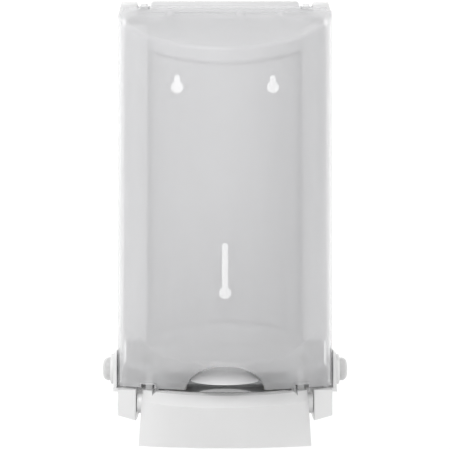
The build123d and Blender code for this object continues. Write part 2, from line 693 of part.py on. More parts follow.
def neck_collar():
    flange = rod_z(0, TUBE_CENTRE, TRAY_FLOOR_TOP, TRAY_FLOOR_TOP + COLLAR_FLANGE_T, COLLAR_FLANGE_R)
    spigot = rod_z(0, TUBE_CENTRE, TRAY_FLOOR_TOP - COLLAR_SPIGOT, TRAY_FLOOR_TOP + 1, COLLAR_R)
    bore = rod_z(0, TUBE_CENTRE, TRAY_FLOOR_TOP - 20, TRAY_FLOOR_TOP + 20, COLLAR_BORE_R)
    return flange + spigot - bore


def shroud_screw_depth():
    return (SHROUD_FLANGE_REAR + SHROUD_FLANGE_FRONT) / 2


def ellipsoid(inset):
    radii = (ARCH_HALF_W - SHROUD_GAP - inset, SHROUD_REACH - inset, ARCH_RISE - SHROUD_GAP - inset)
    return Pos(0, -SHROUD_CENTRE, ARCH_CENTRE_Z) * scale(Sphere(1), by=radii)


def nozzle_shroud():
    front = block(-60, 60, SHROUD_CENTRE, COVER_FRONT + 20, SHROUD_LOW_Z, 0)
    hood = (ellipsoid(0) - ellipsoid(SHROUD_WALL)) & front
    top = TRAY_FLOOR_TOP + SHROUD_FLANGE_T
    half_w = SHROUD_FLANGE_HALF_W
    flange = block(-half_w, half_w, SHROUD_FLANGE_REAR, SHROUD_FLANGE_FRONT, TRAY_FLOOR_TOP, top)
    hole = rod_z(SHROUD_SCREW_X, shroud_screw_depth(), top - 9, top + 9, SCREW_R + SCREW_CLEARANCE)
    return hood + flange - both(hole)


def shroud_screws():
    top = TRAY_FLOOR_TOP + SHROUD_FLANGE_T
    depth = shroud_screw_depth()
    shank = rod_z(SHROUD_SCREW_X, depth, TRAY_FLOOR_TOP - TRAY_FLOOR_T, top + 0.5, SCREW_R)
    head = rod_z(SHROUD_SCREW_X, depth, top, top + SCREW_HEAD_T, SCREW_HEAD_R)
    slot = block(SHROUD_SCREW_X - 2.2, SHROUD_SCREW_X + 2.2, depth - 0.4, depth + 0.4, top + 1, top + 5)
    return both(shank + head - slot)


# ---- guide rods, springs and yoke ------------------------------------------
def guide_rod():
    low = DECK_TOP - DECK_T - CLIP_T - 1.2
    return rod_z(ROD_X, ROD_DEPTH, low, TOWER_TOP - TOWER_WALL, ROD_R)


def rod_clips():
    top = DECK_TOP - DECK_T
    ring = rod_z(ROD_X, ROD_DEPTH, top - CLIP_T, top, CLIP_R)
    ring = ring - rod_z(ROD_X, ROD_DEPTH, top - 3, top + 3, ROD_R)
    mouth = block(ROD_X - 1.2, ROD_X + 1.2, ROD_DEPTH, ROD_DEPTH + 9, top - 3, top + 3)
    return both(ring - mouth)


def yoke_bush():
    flange = rod_z(ROD_X, ROD_DEPTH, YOKE_TOP, YOKE_TOP + YOKE_BUSH_FLANGE_T, YOKE_BUSH_FLANGE_R)
    tube = rod_z(ROD_X, ROD_DEPTH, DECK_TOP + CONTACT_GAP, YOKE_TOP + 0.5, YOKE_BUSH_R)
    bore = rod_z(ROD_X, ROD_DEPTH, DECK_TOP - 9, YOKE_TOP + 9, ROD_R + RUNNING_CLEARANCE)
    return flange + tube - bore


def yoke_spring():
    low = YOKE_TOP + YOKE_BUSH_FLANGE_T + CONTACT_GAP
    high = TOWER_TOP - TOWER_WALL - CONTACT_GAP
    return coil(ROD_X, ROD_DEPTH, low, high, SPRING_MEAN_R, SPRING_WIRE_R, SPRING_TURNS)


def drive_travel():
    """How far back-to-front a drive pin moves as the lever is pushed."""
    turn = radians(LEVER_ANGLE)
    back = DRIVE_DEPTH - PIVOT_DEPTH
    up = DRIVE_Z - PIVOT_Z
    return back * cos(turn) + up * sin(turn) - back


def yoke_end():
    """The right-hand end block with the slot for the drive pin."""
    low = YOKE_TOP - YOKE_T - YOKE_END_DOWN
    block_in = YOKE_HALF_W - YOKE_END_W
    end = block(block_in, YOKE_HALF_W, YOKE_REAR, YOKE_END_FRONT, low, YOKE_TOP + YOKE_END_UP)
    half = DRIVE_R + DRIVE_SLOT_CLEARANCE
    reach = DRIVE_DEPTH + drive_travel()
    slot = block(block_in - 1, YOKE_HALF_W + 1, DRIVE_DEPTH, reach, DRIVE_Z - half, DRIVE_Z + half)
    for depth in (DRIVE_DEPTH, reach):
        slot = slot + rod_x(block_in - 1, YOKE_HALF_W + 1, depth, DRIVE_Z, half)
    return end - slot


def pump_yoke():
    block_in = YOKE_HALF_W - YOKE_END_W
    plate = block(-block_in - 1, block_in + 1, YOKE_REAR, YOKE_FRONT, YOKE_TOP - YOKE_T, YOKE_TOP)
    fork = rod_z(0, TUBE_CENTRE, YOKE_TOP - 9, YOKE_TOP + 9, YOKE_FORK_R)
    mouth = block(-YOKE_FORK_R, YOKE_FORK_R, TUBE_CENTRE, YOKE_FRONT + 9, YOKE_TOP - 9, YOKE_TOP + 9)
    hole = rod_z(ROD_X, ROD_DEPTH, YOKE_TOP - 9, YOKE_TOP + 9, YOKE_BUSH_R + SEAT_FIT)
    clear = block(block_in - 1, block_in + 2, YOKE_REAR + 2, YOKE_END_FRONT - 2, DRIVE_Z - 3, DRIVE_Z + 3)
    return plate - both(clear) + both(yoke_end()) - fork - mouth - both(hole)


# ---- push lever ------------------------------------------------------------
def lever_section(z, half_w, side, front, inset):
    """One level section of the lever, drawn in by inset."""
    w = half_w - inset
    rear = LEVER_REAR - (inset * 9 if inset else 0)
    corner = (w, -(side - inset), z)
    other = (-w, -(side - inset), z)
    outline = [
        Line((w, -rear, z), corner),
        ThreePointArc(corner, (0, -(front - inset), z), other),
        Line(other, (-w, -rear, z)),
        Line((-w, -rear, z), (w, -rear, z)),
    ]
    return Wire((Curve() + outline).edges())


def lever_form(inset):
    """The lever as a filled body; inset gives its hollow."""
    top = LEVER_TOP - inset
    low = LEVER_BOTTOM - (5 if inset else 0)
    stretch = (low - LEVER_CREASE_Z) / (LEVER_BOTTOM - LEVER_CREASE_Z)
    low_w = LEVER_CREASE_HALF_W + stretch * (LEVER_BOTTOM_HALF_W - LEVER_CREASE_HALF_W)
    low_side = LEVER_CREASE_SIDE + stretch * (LEVER_BOTTOM_SIDE - LEVER_CREASE_SIDE)
    low_front = LEVER_CREASE_FRONT + stretch * (LEVER_BOTTOM_FRONT - LEVER_CREASE_FRONT)
    upper = lever_section(top, LEVER_TOP_HALF_W, LEVER_TOP_SIDE, LEVER_TOP_FRONT, inset)
    middle = lever_section(LEVER_CREASE_Z, LEVER_CREASE_HALF_W, LEVER_CREASE_SIDE, LEVER_CREASE_FRONT, inset)
    lower = lever_section(low, low_w, low_side, low_front, inset)
    return Part() + Solid.make_loft([lower, middle, upper], ruled=True)


def lever_arm():
    """The right-hand arm that reaches back to its drive pin."""
    under = arm_underside()
    points = [
        (ARM_FRONT, LEVER_TOP - LEVER_WALL), (ARM_FRONT, LEVER_TOP + 4),
        (ARM_FRONT - 9, ARM_TOP), (DRIVE_DEPTH - 4, ARM_TOP), (DRIVE_DEPTH - 4, under),
        (ARM_REAR - 7, under), (ARM_REAR, LEVER_TOP - LEVER_WALL),
    ]
    return side_profile(points, ARM_IN, ARM_IN + ARM_T)


def push_lever():
    outer = lever_form(0)
    shell = outer - lever_form(LEVER_WALL)
    opening = block(-LEVER_TOP_OPEN_HALF_W, LEVER_TOP_OPEN_HALF_W, 0, LEVER_TOP_OPEN_FRONT,
                    LEVER_TOP - 6, LEVER_TOP + 6)
    heel = [(LEVER_REAR - 9, LEVER_BOTTOM - 9), (LEVER_BOTTOM_SIDE - 6, LEVER_BOTTOM - 9),
            (LEVER_BOTTOM_SIDE - 6, LEVER_BOTTOM), (LEVER_REAR - 9, PIVOT_Z - 10)]
    half_w = LEVER_BOTTOM_HALF_W + 5
    shell = shell - opening - side_profile(heel, -half_w, half_w)
    boss = rod_x(BOSS_IN, BOSS_OUT, PIVOT_DEPTH, PIVOT_Z, BOSS_R)
    bore = rod_x(BOSS_IN - 1, BOSS_OUT + 1, PIVOT_DEPTH, PIVOT_Z, BUSH_R + SEAT_FIT)
    drive = rod_x(ARM_IN - 1, ARM_IN + ARM_T + 1, DRIVE_DEPTH, DRIVE_Z, DRIVE_R + SEAT_FIT)
    return shell + both(boss) + both(lever_arm()) - both(bore) - both(drive)


def lever_bush():
    tube = rod_x(BOSS_IN, BOSS_OUT, PIVOT_DEPTH, PIVOT_Z, BUSH_R)
    return tube - rod_x(BOSS_IN - 1, BOSS_OUT + 1, PIVOT_DEPTH, PIVOT_Z, LEVER_PIN_R + RUNNING_CLEARANCE)


def lever_pin():
    seat = EAR_IN + EAR_WALL
    shank = rod_x(BOSS_IN + 0.6, seat + 0.5, PIVOT_DEPTH, PIVOT_Z, LEVER_PIN_R)
    return shank + rod_x(seat, seat + LEVER_PIN_HEAD_T, PIVOT_DEPTH, PIVOT_Z, LEVER_PIN_HEAD_R)


def drive_pin():
    return rod_x(DRIVE_PIN_IN, ARM_IN + ARM_T, DRIVE_DEPTH, DRIVE_Z, DRIVE_R)


def stop_bumpers():
    z = bumper_z()
    x = ARM_IN + ARM_T / 2
    return both(rod_z(x, DRIVE_DEPTH, z, z + BUMPER_T, BUMPER_R))


# ---- release buttons -------------------------------------------------------
def cheek_face_x():
    return COVER_HALF_W + CHEEK_GAP + CHEEK_T


def bezel_inner_x():
    return COVER_HALF_W + CHEEK_GAP + 0.3


def bezel_outer_x():
    return cheek_face_x() + BEZEL_T


def bezel_bore_r():
    return BUTTON_FLANGE_R + BUTTON_SIDE_CLEARANCE


def bezel_spigot_r():
    return bezel_bore_r() + BEZEL_WALL


def button_rod(x0, x1, radius):
    return rod_x(x0, x1, BUTTON_DEPTH, BUTTON_Z, radius)


def button_bezel():
    out = bezel_outer_x()
    ring = button_rod(cheek_face_x(), out, BEZEL_R)
    ring = chamfer(ring.edges().filter_by(GeomType.CIRCLE).sort_by(Axis.X)[-1], 0.5)
    spigot = button_rod(bezel_inner_x(), cheek_face_x() + 0.5, bezel_spigot_r())
    bore = button_rod(bezel_inner_x() - 1, out - BEZEL_LIP, bezel_bore_r())
    lip = button_rod(bezel_inner_x(), out + 1, BUTTON_R + BUTTON_SIDE_CLEARANCE)
    return ring + spigot - bore - lip


def button_retainer():
    x = bezel_inner_x()
    disc = button_rod(x, x + RETAINER_T, bezel_bore_r() - SEAT_FIT)
    return disc - button_rod(x - 1, x + 3, NOSE_R + 3 * BUTTON_SIDE_CLEARANCE)


def button_flange_x():
    return bezel_outer_x() - BEZEL_LIP - BUTTON_FLANGE_T


def button_apex_x():
    return bezel_outer_x() + BUTTON_RISE


def crown_centre_x():
    """Where the centre of the crown lies on the button's axis."""
    return button_apex_x() - BUTTON_CROWN_R


def corner_centre():
    """Centre of the rim's rounding, which meets the crown smoothly: (x, radius)."""
    out = BUTTON_R - BUTTON_CORNER_R
    along = sqrt((BUTTON_CROWN_R - BUTTON_CORNER_R) ** 2 - out ** 2)
    return (crown_centre_x() + along, out)


def arc_about(centre, radius, start, end):
    """An arc of the button's outline between two angles, in degrees."""
    turns = [radians(angle) for angle in (start, (start + end) / 2, end)]
    return ThreePointArc(*[(centre[0] + radius * cos(t), centre[1] + radius * sin(t)) for t in turns])


def button():
    """A hollow pillow with a flange round its foot and a nose inside."""
    foot = button_flange_x()
    flange = foot + BUTTON_FLANGE_T - BUTTON_REST_GAP
    tip = bezel_inner_x() + BUTTON_TRAVEL - BUTTON_NOSE_SHORT
    crown = (crown_centre_x(), 0)
    corner = corner_centre()
    meet = degrees(atan2(corner[1], corner[0] - crown[0]))
    inside = BUTTON_CROWN_R - BUTTON_WALL
    nose = degrees(asin(NOSE_R / inside))
    bore_r = BUTTON_R - BUTTON_WALL
    crown_in = arc_about(crown, inside, nose, meet)
    outline = [
        Line((tip, 0), (tip, NOSE_R)), Line((tip, NOSE_R), crown_in @ 0), crown_in,
        arc_about(corner, BUTTON_CORNER_R - BUTTON_WALL, meet, 90),
        Line((corner[0], bore_r), (foot, bore_r)), Line((foot, bore_r), (foot, BUTTON_FLANGE_R)),
        Line((foot, BUTTON_FLANGE_R), (flange, BUTTON_FLANGE_R)),
        Line((flange, BUTTON_FLANGE_R), (flange, BUTTON_R)), Line((flange, BUTTON_R), (corner[0], BUTTON_R)),
        arc_about(corner, BUTTON_CORNER_R, 90, meet),
        arc_about(crown, BUTTON_CROWN_R, meet, 0), Line((button_apex_x(), 0), (tip, 0)),
    ]
    turned = revolve(make_face(Curve() + outline), axis=Axis.X)
    return Pos(0, -BUTTON_DEPTH, BUTTON_Z) * turned


def button_spring():
    """Drawn at its pressed length, between the retainer and the button's face."""
    low = bezel_inner_x() + RETAINER_T
    outer_r = BUTTON_SPRING_R + BUTTON_SPRING_WIRE_R
    face = crown_centre_x() + sqrt((BUTTON_CROWN_R - BUTTON_WALL) ** 2 - outer_r ** 2)
    high = face - BUTTON_TRAVEL - CONTACT_GAP
    turned = coil(0, 0, low, high, BUTTON_SPRING_R, BUTTON_SPRING_WIRE_R, BUTTON_SPRING_TURNS)
    return Pos(0, -BUTTON_DEPTH, BUTTON_Z) * Rot(0, 90, 0) * turned


# ---- every node ------------------------------------------------------------
def make_nodes():
    nodes = {
        "back_plate": back_plate(), "cover": cover(), "base_housing": base_housing(),
        "refill_tray": refill_tray(), "neck_collar": neck_collar(),
        "nozzle_shroud": nozzle_shroud(), "shroud_screws": shroud_screws(),
        "housing_screws": housing_screws(), "rod_clips": rod_clips(),
        "stop_bumpers": stop_bumpers(), "push_lever": push_lever(), "pump_yoke": pump_yoke(),
    }
    pairs = {
        "hinge_bracket": hinge_bracket(), "hinge_pin": hinge_pin(),
        "lever_bush": lever_bush(), "lever_pin": lever_pin(), "drive_pin": drive_pin(),
        "guide_rod": guide_rod(), "yoke_bush": yoke_bush(), "yoke_spring": yoke_spring(),
        "button_bezel": button_bezel(), "button_retainer": button_retainer(),
        "button": button(), "button_spring": button_spring(),
    }
    for name, shape in pairs.items():
        for side, piece in left_and_right(shape).items():
            nodes[f"{name}_{side}"] = piece
    return nodes


os.makedirs("parts", exist_ok=True)
for name, shape in make_nodes().items():
    shape.label = name
    export_step(shape, f"parts/{name}.step")
    print(f"{name}: {len(shape.solids())} solids, {shape.volume / 1000:.2f} cm3")
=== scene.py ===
import json
import math

import bmesh
import bpy
from bpy.props import FloatProperty, FloatVectorProperty, IntProperty, PointerProperty
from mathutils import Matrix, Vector


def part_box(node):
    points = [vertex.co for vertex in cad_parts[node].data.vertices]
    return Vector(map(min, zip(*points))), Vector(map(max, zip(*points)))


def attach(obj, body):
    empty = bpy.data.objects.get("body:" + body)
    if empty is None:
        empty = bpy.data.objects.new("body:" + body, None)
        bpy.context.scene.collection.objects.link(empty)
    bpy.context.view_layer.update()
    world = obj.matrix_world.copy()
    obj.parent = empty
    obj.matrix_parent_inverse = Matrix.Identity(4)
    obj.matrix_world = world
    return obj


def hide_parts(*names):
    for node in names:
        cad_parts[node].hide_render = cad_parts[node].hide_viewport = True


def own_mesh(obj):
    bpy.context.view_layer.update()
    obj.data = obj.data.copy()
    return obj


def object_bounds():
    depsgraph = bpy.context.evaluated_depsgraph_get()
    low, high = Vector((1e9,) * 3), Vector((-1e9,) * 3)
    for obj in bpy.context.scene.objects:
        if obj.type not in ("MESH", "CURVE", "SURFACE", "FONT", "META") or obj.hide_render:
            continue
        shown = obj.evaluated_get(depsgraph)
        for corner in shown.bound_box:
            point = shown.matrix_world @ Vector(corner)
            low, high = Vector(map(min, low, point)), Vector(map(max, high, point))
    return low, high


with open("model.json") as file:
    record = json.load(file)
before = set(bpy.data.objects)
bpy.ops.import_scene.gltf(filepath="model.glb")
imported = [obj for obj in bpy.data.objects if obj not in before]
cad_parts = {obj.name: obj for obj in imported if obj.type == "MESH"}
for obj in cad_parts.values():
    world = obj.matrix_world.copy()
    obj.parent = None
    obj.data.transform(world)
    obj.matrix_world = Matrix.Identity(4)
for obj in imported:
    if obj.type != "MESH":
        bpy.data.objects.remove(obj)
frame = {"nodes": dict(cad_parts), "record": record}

bl_info = {
    "name": "Wall soap dispenser",
    "version": (1, 0, 0),
    "blender": (4, 5, 0),
    "location": "View3D > Sidebar > Dispenser",
    "description": "Builds the finished look of a wall soap dispenser round its fixed frame",
    "category": "Object",
}

CAD_BOX = [list(corner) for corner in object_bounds()]
BODY_OF = {n: b for b, nodes in frame["record"]["behaviour"]["bodies"].items() for n in nodes}
SLOT_OF = {row["node"]: row["material_slot"] for row in frame["record"]["subparts"]}
SIDES = ("left", "right")
MM = 0.001
COVER_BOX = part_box("cover")
SIDE_DEPTH = 38 * MM         # where the cover's side wall meets its front curve
ROOF_EDGE = 164 * MM         # height of the roof there
ROOF_SLOPE = 0.525           # its fall for each metre forwards
LIP_HEIGHT = 4.3 * MM        # height of the lip round the cover's foot
CREASE_FLAT = 30 * MM        # half-width of the level part of the line where the chin begins
CREASE_FRONT = -96.4 * MM    # height of that line in front
CREASE_SIDE = -75 * MM       # and at the sides
PANEL_HALF_W = 59.4 * MM     # the wall plate's sunk panel
PANEL_TOP_CORNER = 138.6 * MM
PANEL_TOP_MID = 128.8 * MM
PANEL_FOOT_CORNER = -86.8 * MM
PANEL_FOOT_MID = -76.8 * MM
TRAY_RIM_DEPTH = 61 * MM     # the tray's rim meets its floor here
TRAY_RIM_Z = -107.2 * MM
TRAY_RIM_SLOPE = 0.6         # the rim's rise for each metre forwards
LEVER_CREST_Z = -132.5 * MM
LEVER_TOP_Z = -125 * MM
LEVER_TOP_SIDE = 52 * MM     # depth where the side of the lever's top meets its front curve
LEVER_TOP_FRONT = 84.5 * MM
LEVER_TOP_HALF_W = 62.1 * MM
RIB_REACH = 46               # degrees that the lever's ribs run to each side of the middle
RIB_PITCH = 3.0 * MM

# How much the cover's wall thickens to the eye, added to its haze; at the crease, the fold and the chin's
# corners this goes with a painted highlight, and at the side walls' rear edges with a painted shadow
BAND_DENSITY = 0.50          # along the crease at the roof
GLOW_DENSITY = 0.04          # below that crease
RIM_DENSITY = 0.20           # along the lip
CORNER_DENSITY = 0.28        # in the chin's outer corners
FOLD_DENSITY = 0.40          # along the fold where the chin begins
REAR_DENSITY = 0.45          # along the rear edges of the side walls, which are also painted dark as shadow
MOST_DENSE = 0.96
CORNER_FROM = 34 * MM        # the chin's corners are painted lighter, and made denser, between these distances from the middle
CORNER_TO = 64 * MM
REAR_FROM = 3.5 * MM         # a side wall's dense rear edge, painted dark as shadow, fades out between these depths
REAR_TO = 5.0 * MM
BUTTON_HAZE = 0.62
# the painted highlight along the refill tray's rim
RIM_HIGHLIGHT = (0.93, 0.93, 0.93, 1)

PLASTIC_IOR = 1.49
WELD_GAP = 0.002 * MM        # corners of the frame's meshes nearer than this are one corner
FLAT_ANGLE = 0.4             # degrees; flatter neighbours become one face before edges are rounded
EDGE_SHARP = 32.0            # degrees; edges sharper than this stay sharp, or are rounded
SCREW_SHARP = 40
WIRE_SHARP = 60
INNER_EDGE = 0.4 * MM        # edge rounding of the tray, collar, yoke and shroud
FINE_EDGE = 0.2 * MM         # of the pins, rods, bushes and buttons
BEZEL_EDGE = 0.25 * MM
CLIP_EDGE = 0.12 * MM        # of the rod clips and bumpers
RETAINER_EDGE = 0.1 * MM
TURN_POINTS = 40             # points along one turn of a spring
SCREW_DOME = 0.07 / MM       # fall of a screw head's face, times the distance from its middle squared
CROSS_SOFT = 0.1 * MM        # softness of the screw cross's sides
CROSS_REACH = 1.8 * MM       # its arms run this far at full depth
CROSS_END = 2.1 * MM         # and end here

FLOOR_DROP = 0.12            # the floor lies this far under the dispenser
FLOOR_FRONT = -5.0
FLOOR_HALF_W = 4.0
BACKDROP_AT = 1.1            # distance of the backdrop behind the wall plane
BACKDROP_TOP = 4.0
BACKDROP_CURVE = 0.7         # radius of the bend between floor and backdrop
BACKDROP_STEPS = 24
SENSOR_WIDTH = 36.0          # millimetres


# ---- sizes and colours -------------------------------------------------------
class CoverSettings(bpy.types.PropertyGroup):
    """The see-through cover."""

    tint: FloatVectorProperty(
        name="Tint", description="Colour of the frosted plastic", subtype="COLOR",
        size=3, min=0, max=1, default=(0.80, 0.80, 0.80))
    haze: FloatProperty(
        name="Haze", description="How much each surface of the wall hides what is behind it",
        subtype="FACTOR", min=0, max=1, default=0.47)
    # painted highlight: the crease band is painted lighter as well as made denser
    crease: FloatProperty(
        name="Crease band", description="Width of the dense band where the roof meets the front",
        subtype="DISTANCE", unit="LENGTH", default=3.6 * MM)


class BodySettings(bpy.types.PropertyGroup):
    """The white mouldings."""

    colour: FloatVectorProperty(
        name="White", description="Colour of the moulded parts", subtype="COLOR",
        size=3, min=0, max=1, default=(0.78, 0.78, 0.785))
    # painted shade: the tray's grey stands in for the shade it sits in
    inner: FloatVectorProperty(
        name="Tray grey", description="Colour of the refill tray", subtype="COLOR",
        size=3, min=0, max=1, default=(0.50, 0.50, 0.50))
    edge: FloatProperty(
        name="Edge rounding", description="Rounding of the mouldings' edges",
        subtype="DISTANCE", unit="LENGTH", default=0.6 * MM)


class LeverSettings(bpy.types.PropertyGroup):
    """The push lever."""

    edge: FloatProperty(
        name="Edge rounding", description="Rounding of the lever's corners",
        subtype="DISTANCE", unit="LENGTH", default=1.3 * MM)
    crest: FloatProperty(
        name="Crest rounding", description="Width of the rounding along the lever's crest",
        subtype="DISTANCE", unit="LENGTH", default=5.0 * MM)
    ribs: IntProperty(name="Ribs", description="Fine grip ribs on the lever's top", default=4, min=1)
    rib: FloatProperty(
        name="Rib radius", description="Radius of one grip rib", subtype="DISTANCE", unit="LENGTH",
        default=0.28 * MM)


class MetalSettings(bpy.types.PropertyGroup):
    """Springs and screws."""

    yoke_turns: FloatProperty(name="Yoke spring turns", description="Turns of a return spring", default=7.0)
    yoke_wire: FloatProperty(
        name="Yoke spring wire", description="Radius of the return springs' wire", subtype="DISTANCE",
        unit="LENGTH", default=0.45 * MM)
    button_turns: FloatProperty(
        name="Button spring turns", description="Turns of a button's spring", default=3.5)
    button_wire: FloatProperty(
        name="Button spring wire", description="Radius of the button springs' wire", subtype="DISTANCE",
        unit="LENGTH", default=0.35 * MM)
    screw: FloatProperty(
        name="Screw head radius", description="Radius of the pan heads", subtype="DISTANCE",
        unit="LENGTH", default=3.2 * MM)


class StageSettings(bpy.types.PropertyGroup):
    """Floor, lights and camera."""

    distance: FloatProperty(
        name="Camera distance", description="From the wall plane to the camera",
        subtype="DISTANCE", unit="LENGTH", default=1.0)
    lens: FloatProperty(
        name="Focal length", description="Camera lens in millimetres", default=100.0)
    key: FloatProperty(
        name="Key light", description="Power of the large light above the front",
        subtype="POWER", unit="POWER", default=20.0)
    fill: FloatProperty(
        name="Fill light", description="Power of the light from the right",
        subtype="POWER", unit="POWER", default=2.2)
    wash: FloatProperty(
        name="Backdrop light", description="Power of the light on the backdrop",
        subtype="POWER", unit="POWER", default=7.5)
    sky: FloatProperty(
        name="Surround", description="Strength of the light from all round", default=0.52)


SETTINGS = {
    "cover": CoverSettings, "body": BodySettings, "lever": LeverSettings,
    "metal": MetalSettings, "stage": StageSettings,
}


# ---- finishes ----------------------------------------------------------------
class Value:
    """A number in a node tree; arithmetic on it adds Math nodes."""

    def __init__(self, owner, socket):
        self.owner = owner
        self.socket = socket

    def maths(self, operation, first, second=0.0):
        made = self.owner.node("ShaderNodeMath", {"operation": operation}, {0: first, 1: second})
        return Value(self.owner, made.outputs[0])

    def __add__(self, other):
        return self.maths("ADD", self, other)

    def __sub__(self, other):
        return self.maths("SUBTRACT", self, other)

    def __rsub__(self, other):
        return self.maths("SUBTRACT", other, self)

    def __mul__(self, other):
        return self.maths("MULTIPLY", self, other)

    def greatest(self, other):
        return self.maths("MAXIMUM", self, other)

    def least(self, other):
        return self.maths("MINIMUM", self, other)

    def root(self):
        return self.maths("SQRT", self)

    def sine(self):
        return self.maths("SINE", self)

    def cosine(self):
        return self.maths("COSINE", self)

    def size(self):
        return self.maths("ABSOLUTE", self)

    def over(self, limit):
        """1 where this is more than a limit, otherwise 0."""
        return self.maths("GREATER_THAN", self, limit)

    __radd__ = __add__
    __rmul__ = __mul__


class Nodes:
    """Adds nodes to a tree; the shader and geometry trees share it."""

    def node(self, kind, settings=None, sockets=None):
        made = self.tree.nodes.new(kind)
        for key, value in (settings or {}).items():
            setattr(made, key, value)
        for key, value in (sockets or {}).items():
            self.feed(made.inputs[key], value)
        return made

    def feed(self, socket, value):
        if isinstance(value, Value):
            value = value.socket
        if isinstance(value, bpy.types.NodeSocket):
            self.tree.links.new(value, socket)
        else:
            socket.default_value = value

    def axes(self, place):
        """A place along X, Y and Z, in metres."""
        parts = self.node("ShaderNodeSeparateXYZ", None, {0: place})
        return [Value(self, output) for output in parts.outputs]

    def ramp(self, value, start, end):
        """Rises smoothly from 0 to 1 between two values."""
        made = self.node("ShaderNodeMapRange", {"interpolation_type": "SMOOTHSTEP"}, {
            "Value": value, "From Min": start, "From Max": end})
        return Value(self, made.outputs[0])


class Finish(Nodes):
    """A material, with the few ways of adding nodes that the finishes need."""

    def __init__(self, name):
        self.material = bpy.data.materials.new(name)
        self.material.use_nodes = True
        self.tree = self.material.node_tree
        self.shader = self.tree.nodes["Principled BSDF"]
        self.place = self.node("ShaderNodeTexCoord").outputs["Object"]

    def noise(self, size, detail=2.0, stretch=(1, 1, 1)):
        """Soft noise whose lumps are about size metres across, from 0 to 1."""
        scaled = self.node("ShaderNodeMapping", None, {"Vector": self.place, "Scale": stretch})
        made = self.node("ShaderNodeTexNoise", None, {
            "Vector": scaled.outputs[0], "Scale": 1 / size, "Detail": detail})
        return Value(self, made.outputs[0])

    def blend(self, share, dark, light):
        """A colour between two colours."""
        made = self.node("ShaderNodeMix", {"data_type": "RGBA"}, {0: share, 6: dark, 7: light})
        return made.outputs[2]

    def relief(self, height, depth, strength=1.0):
        """Bump from a height of 0 to 1 that stands for depth metres."""
        made = self.node("ShaderNodeBump", None, {
            "Height": height, "Distance": depth, "Strength": strength})
        self.feed(self.shader.inputs["Normal"], made.outputs[0])

    def moulded(self):
        """A moulding's flow marks, its fine raised spark texture and its uneven polish."""
        flow = self.noise(60 * MM, 3, (1, 1, 0.35))
        spark = self.noise(0.7 * MM, 3)
        self.relief(spark, 0.05 * MM, 0.35)
        polish = self.noise(9 * MM, 4)
        return flow, spark, polish

    def frosted(self):
        """The clouds and the fine raised frost of see-through plastic."""
        cloud = self.noise(45 * MM, 3, (1, 1, 0.4))
        frost = self.noise(0.5 * MM, 4)
        self.relief(frost, 0.03 * MM, 0.3)
        return cloud, frost

    def surface(self, **sockets):
        for key, value in sockets.items():
            self.feed(self.shader.inputs[key.replace("_", " ")], value)
        return self.material


def shade(colour, factor):
    """A lighter or darker copy of a colour, with an alpha of 1."""
    return tuple(min(1.0, channel * factor) for channel in colour) + (1.0,)


def satin_plastic(name, colour, roughness=0.42):
    """Moulded plastic: faint flow marks, an uneven polish and a fine spark texture."""
    finish = Finish(name)
    flow, spark, polish = finish.moulded()
    return finish.surface(
        Base_Color=finish.blend(flow, shade(colour, 0.975), shade(colour, 1.01)),
        Roughness=roughness - 0.06 + 0.08 * polish + 0.05 * spark,
        IOR=PLASTIC_IOR)


def frosted_plastic(name, colour, haze):
    """See-through plastic with a frosted bloom and a lightly polished outside."""
    finish = Finish(name)
    cloud, frost = finish.frosted()
    return finish.surface(
        Base_Color=finish.blend(cloud, shade(colour, 0.975), shade(colour, 1.02)),
        Roughness=0.22 + 0.08 * cloud + 0.06 * frost,
        Alpha=haze - 0.02 + 0.04 * cloud,
        IOR=PLASTIC_IOR)


